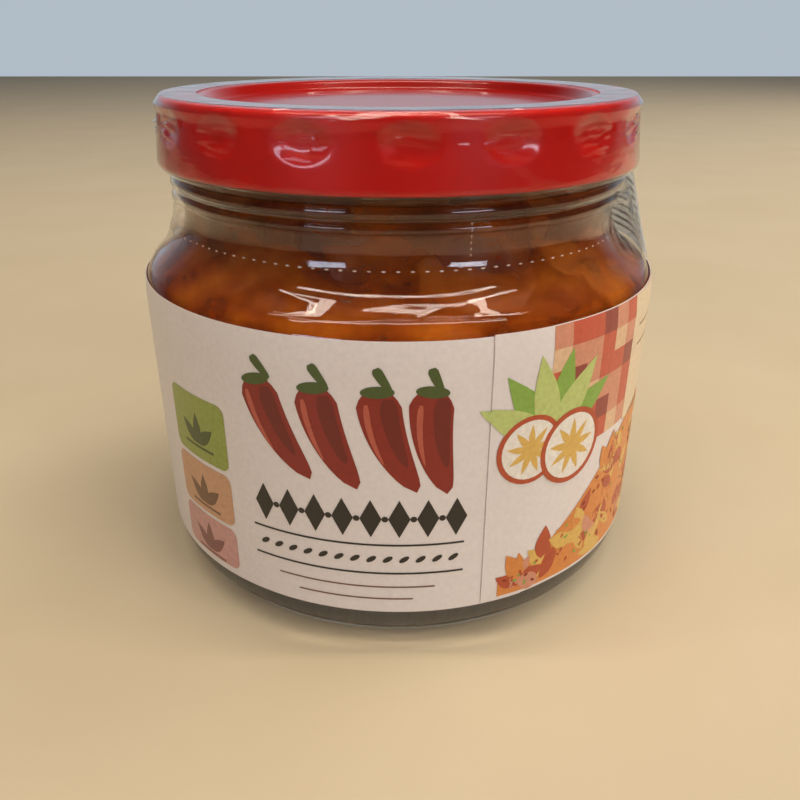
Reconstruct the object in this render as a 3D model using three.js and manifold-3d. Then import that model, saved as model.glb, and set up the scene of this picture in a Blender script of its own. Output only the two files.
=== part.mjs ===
// A squat clear glass jar of sliced kimchi, shut by a dimpled metal lid.
// A clear shrink band covers the lid's skirt, the neck and the shoulder, a paper label is wrapped
// round the body, and a small paper seal bridges the neck at the right rear.
// Millimetres, +Z up, origin at the middle of the standing ring. The front looks along -Y.

import * as THREE from "three";
import { mergeVertices } from "three/addons/utils/BufferGeometryUtils.js";
import Module from "manifold-3d";

// Jar: outside of the glass
const BODY_RADIUS = 39.3;
const HEEL_RADIUS = 7;
const STAND_INNER = 28.6;
const PUSH_UP_RADIUS = 24;
const PUSH_UP = 1.8;
const SHOULDER_Z = 45;
const SHOULDER_ARC = 4.6;
const SHOULDER_SLOPE = 54;
const NECK_RADIUS = 32.5;
const NECK_ARC = 7;
const BEAD_Z = 57.2;
const BEAD_TOP_Z = 60.8;
const BEAD_RADIUS = 33.6;
const FINISH_Z = 61.8;
const FINISH_RADIUS = 32.4;
const RIM_Z = 70.2;
const RIM_ROUND = 1;

// Jar: inside of the glass
const WALL = 2.8;
const FLOOR_Z = 5.5;
const INNER_HEEL = 6;

// Lid
const LID_TOP_RADIUS = 34.6;
const LID_BOTTOM_RADIUS = 35.4;
const LID_THICKNESS = 0.7;
const LID_TOP_Z = 71.5;
const LID_BOTTOM_Z = 62.3;
const LID_CORNER = 0.7;
const PANEL_RADIUS = 28.1;
const PANEL_DROP = 1.5;
const PANEL_STEP = 0.9;
const DIMPLES = 18;
const DIMPLE_DEPTH = 0.7;
const DIMPLE_WIDTH = 8.4;
const DIMPLE_HEIGHT = 5.4;
const DIMPLE_Z = 68.1;
const DIMPLE_TURN = 12;

// Label
const LABEL_GAP = 0.1;
const LABEL_THICKNESS = 0.2;
const LABEL_BOTTOM_Z = 6.9;
const LABEL_TOP_Z = 46.7;

// Shrink band
const BAND_GAP = 0.2;
const BAND_THICKNESS = 0.15;
const BAND_LIP = 5;
const BAND_BOTTOM_ANGLE = 38;

// Paper seal
const SEAL_GAP = 0.25;
const SEAL_THICKNESS = 0.2;
const SEAL_FROM = 76;
const SEAL_TO = 124;
const SEAL_TOP_Z = 60.6;
const SEAL_TOP_RADIUS = 34.9;
const SEAL_BOTTOM_Z = 48.6;

// Kimchi
const FILL_Z = 60.6;
const FOOD_GAP = 0.35;
const CORE_INSET = 1.7;
const CORE_TOP_Z = 57.6;
const SLICE_THICKNESS = 2.2;

// Facets round the axis
const SIDES = 48;
const LID_SIDES = DIMPLES * 4;
const FOOD_SIDES = 24;

const glassMaterial = new THREE.MeshStandardMaterial({ color: "#dfe6df", roughness: 0.05, metalness: 0 });
const lidMaterial = new THREE.MeshStandardMaterial({ color: "#b01a10", roughness: 0.3, metalness: 0.2 });
const foodMaterial = new THREE.MeshStandardMaterial({ color: "#9a4a18", roughness: 0.35, metalness: 0 });
const labelMaterial = new THREE.MeshStandardMaterial({ color: "#e4d6cb", roughness: 0.35, metalness: 0 });
const bandMaterial = new THREE.MeshStandardMaterial({ color: "#f4f6f6", roughness: 0.08, metalness: 0 });
const sealMaterial = new THREE.MeshStandardMaterial({ color: "#e6e6de", roughness: 0.7, metalness: 0 });

const wasm = await Module();
wasm.setup();

const radians = THREE.MathUtils.degToRad;

function at(radius, z) {
  return new THREE.Vector2(radius, z);
}

// Points of an arc in the half plane of radius and height, angles in degrees from the outward direction.
function arc(centre, radius, from, to, steps) {
  return Array.from({ length: steps + 1 }, (_, i) => {
    const angle = radians(from + ((to - from) * i) / steps);
    return at(centre.x + radius * Math.cos(angle), centre.y + radius * Math.sin(angle));
  });
}

// A closed solid turned about Z from a profile that starts and ends on the axis or closes on itself.
function turned(profile, sides) {
  return new THREE.LatheGeometry(profile, sides).rotateX(Math.PI / 2);
}

function closed(profile) {
  return [...profile, profile[0].clone()];
}

// The centres of the convex shoulder arc and of the concave neck arc, shared by both faces of the glass.
// A straight slope joins the two arcs, which sets the height of the neck.
const shoulderCentre = at(BODY_RADIUS - SHOULDER_ARC, SHOULDER_Z);
const slopeCos = Math.cos(radians(SHOULDER_SLOPE));
const slopeSin = Math.sin(radians(SHOULDER_SLOPE));
const slopeRun = BODY_RADIUS - NECK_RADIUS - (SHOULDER_ARC + NECK_ARC) * (1 - slopeCos);
const neckZ = SHOULDER_Z + (SHOULDER_ARC + NECK_ARC) * slopeSin + (slopeRun * slopeCos) / slopeSin;
const neckCentre = at(NECK_RADIUS + NECK_ARC, neckZ);

// Body wall, shoulder and neck at a distance outside the glass (negative inside), from low to high.
function shoulderProfile(offset, from, steps) {
  return [
    ...arc(shoulderCentre, SHOULDER_ARC + offset, from, SHOULDER_SLOPE, steps),
    ...arc(neckCentre, NECK_ARC - offset, 180 + SHOULDER_SLOPE, 180, steps),
  ];
}

function jarOutside() {
  const heelCentre = at(BODY_RADIUS - HEEL_RADIUS, HEEL_RADIUS);
  return [
    at(0, PUSH_UP),
    at(PUSH_UP_RADIUS, PUSH_UP),
    at(STAND_INNER, 0),
    ...arc(heelCentre, HEEL_RADIUS, -90, 0, 5),
    ...shoulderProfile(0, 0, 4),
    at(NECK_RADIUS, BEAD_Z),
    at(BEAD_RADIUS, BEAD_TOP_Z),
    at(BEAD_RADIUS, FINISH_Z),
    at(FINISH_RADIUS, FINISH_Z),
    at(FINISH_RADIUS, RIM_Z - RIM_ROUND),
    at(FINISH_RADIUS - RIM_ROUND, RIM_Z),
  ];
}

// Inside of the glass, drawn in by an inset, from the axis at the floor up to a height in the neck.
function cavity(inset, topZ, steps) {
  const innerRadius = BODY_RADIUS - WALL - inset;
  const heelCentre = at(innerRadius - INNER_HEEL, FLOOR_Z + inset + INNER_HEEL);
  const neckRadius = NECK_RADIUS - WALL - inset;
  const wall = shoulderProfile(-WALL - inset, 0, steps).filter((p) => p.y < topZ);
  return [
    at(0, FLOOR_Z + inset),
    ...arc(heelCentre, INNER_HEEL, -90, 0, steps),
    ...wall,
    at(topZ < neckZ ? wall.at(-1).x : neckRadius, topZ),
  ];
}

function jarGeometry() {
  const inside = cavity(0, RIM_Z - RIM_ROUND, 3);
  const rim = at(NECK_RADIUS - WALL + RIM_ROUND, RIM_Z);
  return turned([...jarOutside(), rim, ...inside.reverse()], SIDES);
}

// How far a point of the lid's skirt is pressed in: one smooth oval hollow for each dimple.
function dimpleDepth(angle, z) {
  const pitch = (2 * Math.PI) / DIMPLES;
  const turn = angle - radians(DIMPLE_TURN);
  const across = (turn - Math.round(turn / pitch) * pitch) * LID_TOP_RADIUS;
  const reach = Math.hypot(across / (DIMPLE_WIDTH / 2), (z - DIMPLE_Z) / (DIMPLE_HEIGHT / 2));
  return reach < 1 ? DIMPLE_DEPTH * Math.cos((reach * Math.PI) / 2) : 0;
}

// The skirt widens a little from the top corner down to the lower edge.
function skirtRadius(z) {
  return THREE.MathUtils.mapLinear(z, LID_TOP_Z - LID_CORNER, LID_BOTTOM_Z, LID_TOP_RADIUS, LID_BOTTOM_RADIUS);
}

function lidCorner(offset) {
  return arc(at(LID_TOP_RADIUS - LID_CORNER, LID_TOP_Z - LID_CORNER), LID_CORNER + offset, 0, 90, 2);
}

function lidProfile() {
  const underside = LID_TOP_Z - LID_THICKNESS;
  const panelTop = LID_TOP_Z - PANEL_DROP;
  const panelUnderside = panelTop - LID_THICKNESS;
  const rows = [0.95, 0.4, -0.4, -0.95].map((part) => DIMPLE_Z + (part * DIMPLE_HEIGHT) / 2);
  return [
    at(0, panelUnderside),
    at(PANEL_RADIUS - PANEL_STEP + LID_THICKNESS, panelUnderside),
    at(PANEL_RADIUS + LID_THICKNESS, underside),
    at(LID_TOP_RADIUS - LID_THICKNESS - LID_CORNER, underside),
    ...rows.map((z) => at(skirtRadius(z) - LID_THICKNESS, z)),
    at(LID_BOTTOM_RADIUS - LID_THICKNESS, LID_BOTTOM_Z),
    at(LID_BOTTOM_RADIUS, LID_BOTTOM_Z),
    ...rows.map((z) => at(skirtRadius(z), z)).reverse(),
    ...lidCorner(0),
    at(PANEL_RADIUS, LID_TOP_Z),
    at(PANEL_RADIUS - PANEL_STEP, panelTop),
    at(0, panelTop),
  ];
}

// The lid is turned, then its skirt is pressed in at each dimple.
function lidGeometry() {
  const geometry = turned(lidProfile(), LID_SIDES).rotateZ(radians(DIMPLE_TURN));
  const skirtStart = LID_TOP_RADIUS - LID_THICKNESS - LID_CORNER / 2;
  const place = geometry.attributes.position;
  for (let i = 0; i < place.count; i++) {
    const [x, y, z] = [place.getX(i), place.getY(i), place.getZ(i)];
    const radius = Math.hypot(x, y);
    if (radius < skirtStart) continue;
    const scale = 1 - dimpleDepth(Math.atan2(y, x), z) / radius;
    place.setXYZ(i, x * scale, y * scale, z);
  }
  return geometry;
}

function labelGeometry() {
  const inner = BODY_RADIUS + LABEL_GAP;
  const outer = inner + LABEL_THICKNESS;
  const section = [
    at(inner, LABEL_BOTTOM_Z),
    at(outer, LABEL_BOTTOM_Z),
    at(outer, SHOULDER_Z),
    at(outer - LABEL_THICKNESS, LABEL_TOP_Z),
    at(inner - LABEL_THICKNESS, LABEL_TOP_Z),
    at(inner, SHOULDER_Z),
  ];
  return turned(closed(section), SIDES);
}

// One face of the shrink band, from its lower edge on the shoulder to its lip on the lid's top.
function bandFace(offset) {
  return [
    ...shoulderProfile(offset, BAND_BOTTOM_ANGLE, 2),
    at(NECK_RADIUS + offset, BEAD_Z),
    at(BEAD_RADIUS + offset, BEAD_TOP_Z),
    at(LID_BOTTOM_RADIUS + offset, LID_BOTTOM_Z - offset),
    ...lidCorner(offset),
    at(LID_TOP_RADIUS - LID_CORNER - BAND_LIP, LID_TOP_Z + offset),
  ];
}

function bandGeometry() {
  const inside = bandFace(BAND_GAP);
  const outside = bandFace(BAND_GAP + BAND_THICKNESS);
  return turned(closed([...outside, ...inside.reverse()]), SIDES);
}

// The seal lies on a straight cone from under the lid's edge to the shoulder, outside the band.
function sealGeometry() {
  const columns = 8;
  const sheet = new THREE.BoxGeometry(1, 1, 1, columns, 1, 1);
  const clear = SHOULDER_ARC + BAND_GAP + BAND_THICKNESS + SEAL_GAP;
  const bottomRadius = shoulderCentre.x + Math.sqrt(clear ** 2 - (SEAL_BOTTOM_Z - SHOULDER_Z) ** 2);
  const place = sheet.attributes.position;
  for (let i = 0; i < place.count; i++) {
    const angle = radians(THREE.MathUtils.lerp(SEAL_FROM, SEAL_TO, place.getX(i) + 0.5) - 90);
    const up = place.getY(i) + 0.5;
    const outward = (place.getZ(i) + 0.5) * SEAL_THICKNESS;
    const radius = THREE.MathUtils.lerp(bottomRadius, SEAL_TOP_RADIUS, up) + outward;
    const z = THREE.MathUtils.lerp(SEAL_BOTTOM_Z, SEAL_TOP_Z, up);
    place.setXYZ(i, radius * Math.cos(angle), radius * Math.sin(angle), z);
  }
  return sheet;
}

// A seeded draw between 0 and 1, so that the heap is the same each time.
function seededDraw(seed) {
  let state = seed;
  return () => {
    state = (state * 1664525 + 1013904223) % 4294967296;
    return state / 4294967296;
  };
}

function solidOf(geometry) {
  const bare = geometry.clone();
  bare.deleteAttribute("normal");
  bare.deleteAttribute("uv");
  const merged = mergeVertices(bare, 1e-4);
  return new wasm.Manifold(
    new wasm.Mesh({
      numProp: 3,
      vertProperties: merged.attributes.position.array,
      triVerts: new Uint32Array(merged.index.array),
    }),
  );
}

function geometryOf(solid) {
  const mesh = solid.getMesh();
  return new THREE.BufferGeometry()
    .setAttribute("position", new THREE.BufferAttribute(mesh.vertProperties, 3))
    .setIndex(new THREE.BufferAttribute(mesh.triVerts, 1));
}

// The main body of a cut solid, without the loose scraps.
function largestBody(solid) {
  return solid.decompose().reduce((best, body) => (body.volume() > best.volume() ? body : best));
}

// One slice of cabbage: a thin plate with a wave across it and one end narrower than the other.
function sliceGeometry(width, height, draw) {
  const slice = new THREE.BoxGeometry(width, SLICE_THICKNESS, height, 2, 1, 1);
  const wave = 0.4 + 0.9 * draw();
  const phase = 2 * Math.PI * draw();
  const taper = 0.15 + 0.3 * draw();
  const place = slice.attributes.position;
  for (let i = 0; i < place.count; i++) {
    const [x, y, z] = [place.getX(i), place.getY(i), place.getZ(i)];
    const narrow = 1 - (taper * (z + height / 2)) / height;
    place.setXYZ(i, x * narrow, y + wave * Math.sin((4 * x) / width + phase), z);
  }
  return slice;
}

// Rings of slices that lean against the glass: how many, their height, distance from the axis and lean.
const SLICE_RINGS = [
  { count: 7, z: 9.5, reach: 34.6, lean: -24 },
  { count: 8, z: 43.5, reach: 35.2, lean: 6 },
  { count: 8, z: 50.2, reach: 31.6, lean: 48 },
  { count: 6, z: 58, reach: 23, lean: 74 },
  { count: 3, z: 58.6, reach: 9, lean: 82 },
];

function placedSlices() {
  const draw = seededDraw(20);
  return SLICE_RINGS.flatMap(({ count, z, reach, lean }) =>
    Array.from({ length: count }, (_, i) => {
      const width = 11 + 7 * draw();
      const height = 8 + 4 * draw();
      const slice = sliceGeometry(width, height, draw);
      slice.rotateY(radians(40 * (draw() - 0.5)));
      slice.rotateX(radians(-lean + 14 * (draw() - 0.5)));
      slice.translate(0, -reach, z + 1.6 * (draw() - 0.5));
      return slice.rotateZ((2 * Math.PI * (i + 0.5 * draw())) / count);
    }),
  );
}

// The heap: a core that follows the inside of the jar, with the slices that show fused on,
// all kept clear of the glass and under the fill level.
function kimchiGeometry() {
  const room = solidOf(turned([...cavity(FOOD_GAP, FILL_Z, 2), at(0, FILL_Z)], FOOD_SIDES));
  const core = solidOf(turned([...cavity(CORE_INSET, CORE_TOP_Z, 2), at(0, CORE_TOP_Z)], FOOD_SIDES));
  const heap = placedSlices().reduce((sum, slice) => sum.add(solidOf(slice)), core);
  return geometryOf(largestBody(heap.intersect(room)));
}

function piece(name, geometry, material) {
  const mesh = new THREE.Mesh(geometry, material);
  mesh.name = name;
  return mesh;
}

const kimchiJar = new THREE.Group();
kimchiJar.add(
  piece("glass_jar", jarGeometry(), glassMaterial),
  piece("kimchi", kimchiGeometry(), foodMaterial),
  piece("lid", lidGeometry(), lidMaterial),
  piece("label", labelGeometry(), labelMaterial),
  piece("shrink_band", bandGeometry(), bandMaterial),
  piece("paper_seal", sealGeometry(), sealMaterial),
);

export default kimchiJar;
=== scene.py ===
import bisect
import math
import random

import bmesh
import bpy
from mathutils import Matrix, Vector, noise


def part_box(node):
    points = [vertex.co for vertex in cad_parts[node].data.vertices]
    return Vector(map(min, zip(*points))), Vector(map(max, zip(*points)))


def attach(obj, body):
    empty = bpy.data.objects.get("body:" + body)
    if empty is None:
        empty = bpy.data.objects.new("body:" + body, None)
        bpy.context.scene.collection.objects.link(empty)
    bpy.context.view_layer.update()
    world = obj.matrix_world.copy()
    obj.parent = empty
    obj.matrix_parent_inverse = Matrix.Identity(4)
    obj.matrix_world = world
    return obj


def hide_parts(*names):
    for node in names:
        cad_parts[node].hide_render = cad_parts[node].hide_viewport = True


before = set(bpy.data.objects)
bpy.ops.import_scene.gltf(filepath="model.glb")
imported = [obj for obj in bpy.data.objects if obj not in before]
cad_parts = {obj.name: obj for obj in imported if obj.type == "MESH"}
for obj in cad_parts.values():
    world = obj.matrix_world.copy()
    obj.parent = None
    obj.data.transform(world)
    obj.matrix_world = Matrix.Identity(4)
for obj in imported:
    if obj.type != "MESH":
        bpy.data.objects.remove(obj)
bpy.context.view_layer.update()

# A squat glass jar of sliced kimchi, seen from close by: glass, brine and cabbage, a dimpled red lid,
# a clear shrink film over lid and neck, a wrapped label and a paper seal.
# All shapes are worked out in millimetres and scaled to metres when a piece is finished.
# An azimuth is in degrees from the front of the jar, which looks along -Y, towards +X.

MM = 0.001

# Outside of the glass
BODY_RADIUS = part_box("glass_jar")[1].x / MM
RIM_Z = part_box("glass_jar")[1].z / MM
HEEL_RADIUS = 7
STAND_INNER = 28.6
PUSH_UP_RADIUS = 24
PUSH_UP = 1.8
STIPPLE_Z = 1.2
SHOULDER_Z = 45
SHOULDER_ARC = 4.6
SHOULDER_SLOPE = 54
NECK_RADIUS = 32.5
NECK_ARC = 7
BEAD_Z = 57.2
BEAD_TOP_Z = 60.8
BEAD_RADIUS = 33.6
BEAD_ROUND = 1.1
RIDGE_ROUND = 0.7
FINISH_Z = 61.8
FINISH_RADIUS = 32.4
RIM_ROUND = 1

# Inside of the glass, and the brine in it
WALL = 2.8
FLOOR_Z = 5.5
INNER_HEEL = 6
BRINE_Z = 59.8
BRINE_INTO_WALL = 0.08
BRINE_DIP = 0.5
# Heights over which the brine's colour darkens: painted shade for the lid's shadow over the neck
PASTE_FROM_Z = 51
PASTE_TO_Z = 56
CORE_INSET = 3
CORE_TOP_Z = 59
CORE_LUMPS = 0.02

# Slices and flakes along the wall: depth and count of each layer of slices, and how far along they start
SLICE_LAYERS = ((0.25, 120), (1.9, 110), (3.2, 90))
SLICES_FROM = 22
FLAKES = 420
FLAKES_FROM = 24

# Lid
LID_TOP_RADIUS = 34.6
LID_BOTTOM_RADIUS = 35.4
LID_FILM_ROOM = 0.3
LID_TOP_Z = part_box("lid")[1].z / MM - LID_FILM_ROOM
LID_BOTTOM_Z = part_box("lid")[0].z / MM
LID_SHEET = 0.45
LID_CORNER = 0.7
LID_CURL = 0.3
PANEL_RADIUS = 28.1
PANEL_DROP = 1.5
DIMPLES = 18
DIMPLE_DEPTH = 0.55
DIMPLE_WIDTH = 8.4
DIMPLE_HEIGHT = 5.4
DIMPLE_Z = 67.9
DIMPLE_AZIMUTH = 2

# Label: a strip wrapped once round the body, whose free edge lies over its other end
LABEL_RADIUS = BODY_RADIUS + 0.15
LABEL_BOTTOM_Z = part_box("label")[0].z / MM
LABEL_TOP_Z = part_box("label")[1].z / MM
LABEL_SHEET = 0.09
LABEL_EDGE = 11.6
LABEL_OVERLAP = 6.4
LABEL_STEP = 0.16
LABEL_SKEW = 0.28
LABEL_ROUND = 2 * math.pi * LABEL_RADIUS
LABEL_COLUMN = 0.8
LABEL_ROWS = 16
INK_LIFT = 0.03
INK_LAYER = 0.012

# Shrink film
FILM_SHEET = 0.05
FILM_GAP = 0.16
FILM_LOW_ANGLE = 42
FILM_LIP = 5
FILM_CORNER = 1.0
FILM_BULGE = 0.25
FILM_EDGE_RUN = 0.93
FILM_EDGE_RISE = 0.1
FILM_BEND = 0.1
FILM_SPACING = 0.6
FILM_FINE_SPACING = 0.27
FILM_WRINKLE = 0.22
FILM_PULL = 0.08
FILM_PLEAT = 1.7
FILM_CLING = 0.4
PERFORATION_Z = 53.3
PERFORATION_AZIMUTH = 15.3
PERFORATION_TURN = 3
PERFORATION_PITCH = 0.75
PERFORATION_ROWS = 7
PERFORATION_LIFT = 0.12

# Paper seal over the neck at the right rear
SEAL_FROM = 76
SEAL_TO = 124
SEAL_TOP = (34.9, 60.6)
SEAL_BOTTOM = (38.45, 48.6)
SEAL_SHEET = 0.15
SEAL_BAR_LIFT = 0.05
SEAL_BAR_SHEET = 0.02
SEAL_BARS = 8
SEAL_MARGIN = 5

# Table and camera, in metres and degrees where they are not lengths of the jar
TABLE_HALF = 1500
LAMP_AIM = Vector((0, 0, 0.04))
CAMERA_PLACE = (0, -0.12166, 0.07906)
CAMERA_DOWN = 25.76
CAMERA_LENS = 34.36
CAMERA_SENSOR = 36
CAMERA_SHIFT = 0.00225

JAR_STEPS = 192
LID_STEPS = 360
FILM_STEPS = 320


def linear(colour):
    """An sRGB hex colour as linear RGBA."""
    channels = [int(colour[i:i + 2], 16) / 255 for i in (1, 3, 5)]
    return [c / 12.92 if c <= 0.04045 else ((c + 0.055) / 1.055) ** 2.4 for c in channels] + [1.0]


def mix(a, b, part):
    return a + (b - a) * part


def ramp(low, high, value):
    """0 below low, 1 above high, and a smooth rise between."""
    part = min(max((value - low) / (high - low), 0), 1)
    return part * part * (3 - 2 * part)


def polar(azimuth, radius, z):
    turn = math.radians(azimuth)
    return Vector((radius * math.sin(turn), -radius * math.cos(turn), z))


def azimuth_of(point):
    return math.degrees(math.atan2(point.x, -point.y))


# Materials

def add_node(tree, kind, inputs=None, **settings):
    """A node with its settings, whose inputs are values or the output sockets of other nodes."""
    node = tree.nodes.new(kind)
    for name, value in settings.items():
        setattr(node, name, value)
    for name, value in (inputs or {}).items():
        if isinstance(value, bpy.types.NodeSocket):
            tree.links.new(value, node.inputs[name])
        else:
            node.inputs[name].default_value = value
    return node


def new_material(name):
    material = bpy.data.materials.new(name)
    material.use_nodes = True
    tree = material.node_tree
    tree.nodes.clear()
    return material, tree, add_node(tree, "ShaderNodeOutputMaterial")


def object_noise(tree, size_mm, stretch=(1, 1, 1), detail=2.0, roughness=0.5):
    """Noise on Object coordinates whose lumps are about size_mm wide, stretched along the axes."""
    place = add_node(tree, "ShaderNodeTexCoord").outputs["Object"]
    scale = [1 / part for part in stretch]
    mapped = add_node(tree, "ShaderNodeMapping", {"Vector": place, "Scale": scale}).outputs["Vector"]
    settings = {"Vector": mapped, "Scale": 1 / (size_mm * MM), "Detail": detail, "Roughness": roughness}
    return add_node(tree, "ShaderNodeTexNoise", settings).outputs["Fac"]


def bump(tree, height, depth_mm):
    return add_node(tree, "ShaderNodeBump", {"Height": height, "Distance": depth_mm * MM}).outputs["Normal"]


def blend_colours(tree, factor, *stops):
    """A colour ramp through (position, hex colour) stops."""
    node = add_node(tree, "ShaderNodeValToRGB", {"Fac": factor})
    while len(node.color_ramp.elements) < len(stops):
        node.color_ramp.elements.new(0.5)
    for element, (position, colour) in zip(node.color_ramp.elements, stops):
        element.position = position
        element.color = linear(colour)
    return node.outputs["Color"]


# Blown soda-lime glass, fire-polished: clear with a faint green, and its slight waves bend the reflections.
def soda_lime_glass():
    material, tree, output = new_material("blown soda-lime glass")
    waves = object_noise(tree, 9, stretch=(1, 1, 0.6))
    shader = add_node(tree, "ShaderNodeBsdfPrincipled", {
        "Base Color": linear("#f3f8f3"), "Roughness": 0.01, "IOR": 1.5, "Transmission Weight": 1.0,
        "Normal": bump(tree, waves, 0.12)})
    tree.links.new(shader.outputs["BSDF"], output.inputs["Surface"])
    return material


# The standing ring: stippled in the mould, so it scatters light and the heel above it looks paler.
def stippled_glass():
    material, tree, output = new_material("stippled soda-lime glass")
    stipple = object_noise(tree, 0.8, detail=1.0)
    colour = blend_colours(tree, stipple, (0.3, "#c6bda2"), (0.7, "#d8d0b8"))
    shader = add_node(tree, "ShaderNodeBsdfPrincipled", {
        "Base Color": colour, "Roughness": 0.3, "IOR": 1.5, "Transmission Weight": 0.65,
        "Normal": bump(tree, stipple, 0.05)})
    tree.links.new(shader.outputs["BSDF"], output.inputs["Surface"])
    return material


# The same glass where brine wets it from inside: the step in index is small, so the face hardly shows.
def wetted_glass():
    material, tree, output = new_material("soda-lime glass wetted by brine")
    shader = add_node(tree, "ShaderNodeBsdfPrincipled", {
        "Base Color": linear("#ffffff"), "Roughness": 0.0, "IOR": 1.11, "Transmission Weight": 1.0})
    tree.links.new(shader.outputs["BSDF"], output.inputs["Surface"])
    return material


# Chilli brine, cloudy with fine paste: what lies a few millimetres deep turns orange brown and blurs.
# It is darker towards the top, a painted shade standing for the shade of the lid over the neck.
def chilli_brine():
    material, tree, output = new_material("cloudy chilli brine")
    cloud = object_noise(tree, 7, stretch=(1, 1, 0.7), detail=3.0)
    place = add_node(tree, "ShaderNodeTexCoord").outputs["Object"]
    height = add_node(tree, "ShaderNodeSeparateXYZ", {"Vector": place}).outputs["Z"]
    # Painted shade: the colour darkens towards the top, where the lid shades the contents.
    risen = add_node(tree, "ShaderNodeMapRange", {
        "Value": height, "From Min": PASTE_FROM_Z * MM, "From Max": PASTE_TO_Z * MM,
        "To Min": 0.0, "To Max": 0.17}).outputs["Result"]
    tone = add_node(tree, "ShaderNodeMath", {0: cloud, 1: risen}, operation="SUBTRACT").outputs["Value"]
    colour = blend_colours(tree, tone, (0.12, "#3c1403"), (0.32, "#662404"), (0.5, "#883c06"),
                           (0.7, "#a25209"))
    paste = add_node(tree, "ShaderNodeBsdfPrincipled", {
        "Base Color": colour, "Roughness": 0.6, "Specular IOR Level": 0.0, "Subsurface Weight": 0.4,
        "Subsurface Scale": 0.001, "Subsurface Radius": [2.0, 0.8, 0.2]})
    clear = add_node(tree, "ShaderNodeBsdfTransparent", {"Color": linear("#ffffff")})
    surface = add_node(tree, "ShaderNodeMixShader", {
        0: 0.72, 1: clear.outputs["BSDF"], 2: paste.outputs["BSDF"]})
    volume = add_node(tree, "ShaderNodeVolumeAbsorption", {"Color": linear("#e08a3a"), "Density": 280.0})
    tree.links.new(surface.outputs["Shader"], output.inputs["Surface"])
    tree.links.new(volume.outputs["Volume"], output.inputs["Volume"])
    return material


# The top of that brine: a wet, mirror-smooth film over it.
def brine_top():
    material, tree, output = new_material("chilli brine surface")
    shader = add_node(tree, "ShaderNodeBsdfPrincipled", {
        "Base Color": linear("#c08a50"), "Roughness": 0.05, "IOR": 1.35, "Transmission Weight": 0.7})
    tree.links.new(shader.outputs["BSDF"], output.inputs["Surface"])
    return material


# Salted napa cabbage: pale translucent ribs and yellow-green leaf, stained orange by the seasoning.
def pickled_cabbage():
    material, tree, output = new_material("pickled napa cabbage")
    tone = add_node(tree, "ShaderNodeAttribute", attribute_name="tone").outputs["Fac"]
    veins = object_noise(tree, 2.2, stretch=(1, 1, 3), detail=4.0)
    both = add_node(tree, "ShaderNodeMath", {0: tone, 1: veins}, operation="ADD").outputs["Value"]
    half = add_node(tree, "ShaderNodeMath", {0: both, 1: 0.5}, operation="MULTIPLY").outputs["Value"]
    colour = blend_colours(tree, half, (0.15, "#74320a"), (0.4, "#a05410"), (0.6, "#bc7424"),
                           (0.85, "#cc944a"))
    shader = add_node(tree, "ShaderNodeBsdfPrincipled", {
        "Base Color": colour, "Roughness": 0.35, "Subsurface Weight": 0.25, "Subsurface Scale": 0.001,
        "Subsurface Radius": [1.0, 0.5, 0.2], "Normal": bump(tree, veins, 0.25)})
    tree.links.new(shader.outputs["BSDF"], output.inputs["Surface"])
    return material


# Seasoning paste between the slices: dark orange red, lumpy, with paler shreds.
def seasoning_paste():
    material, tree, output = new_material("chilli seasoning paste")
    lumps = object_noise(tree, 3.5, detail=5.0, roughness=0.6)
    colour = blend_colours(tree, lumps, (0.3, "#3c1405"), (0.5, "#6a2a0a"), (0.7, "#8c4a15"))
    shader = add_node(tree, "ShaderNodeBsdfPrincipled", {
        "Base Color": colour, "Roughness": 0.4, "Normal": bump(tree, lumps, 0.5)})
    tree.links.new(shader.outputs["BSDF"], output.inputs["Surface"])
    return material


# Dried chilli flakes, soaked: glossy dark red with lighter red rims.
def chilli_flake():
    material, tree, output = new_material("soaked chilli flakes")
    speckle = object_noise(tree, 1.2, detail=1.0)
    colour = blend_colours(tree, speckle, (0.35, "#6e0f05"), (0.65, "#b5240f"))
    shader = add_node(tree, "ShaderNodeBsdfPrincipled", {"Base Color": colour, "Roughness": 0.3})
    tree.links.new(shader.outputs["BSDF"], output.inputs["Surface"])
    return material


# Lacquered tinplate: red enamel, rolled and pressed, with a clear gloss over a faint orange peel.
def red_lacquer():
    material, tree, output = new_material("red lacquered tinplate")
    cloud = object_noise(tree, 14, detail=3.0)
    peel = object_noise(tree, 1.1, detail=1.0)
    colour = blend_colours(tree, cloud, (0.3, "#960c03"), (0.7, "#a41005"))
    shader = add_node(tree, "ShaderNodeBsdfPrincipled", {
        "Base Color": colour, "Roughness": 0.32, "Specular IOR Level": 0.15,
        "Coat Weight": 0.7, "Coat Roughness": 0.08, "Normal": bump(tree, peel, 0.01)})
    tree.links.new(shader.outputs["BSDF"], output.inputs["Surface"])
    return material


# Shrink film: clear PET drawn tight by heat, so its fine crinkles break up the highlights.
def shrink_film():
    material, tree, output = new_material("clear PET shrink film")
    crinkle = object_noise(tree, 5, stretch=(1, 1, 0.25), detail=1.0)
    shader = add_node(tree, "ShaderNodeBsdfPrincipled", {
        "Base Color": linear("#fdfdfd"), "Roughness": 0.03, "IOR": 1.2, "Transmission Weight": 1.0,
        "Normal": bump(tree, crinkle, 0.03)})
    tree.links.new(shader.outputs["BSDF"], output.inputs["Surface"])
    return material


# Edges of the punched perforations: the perforations are real, and their pale colour is a painted glint for
# the light the cut edges catch.
def whitened_film():
    material, tree, output = new_material("film perforations with painted glint")
    speckle = object_noise(tree, 0.6, detail=1.0)
    # Painted glint: pale tan standing for light caught on the cut edges of the film.
    colour = blend_colours(tree, speckle, (0.3, "#b09a80"), (0.7, "#d8c8b4"))
    shader = add_node(tree, "ShaderNodeBsdfPrincipled", {"Base Color": colour, "Roughness": 0.3})
    tree.links.new(shader.outputs["BSDF"], output.inputs["Surface"])
    return material


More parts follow.
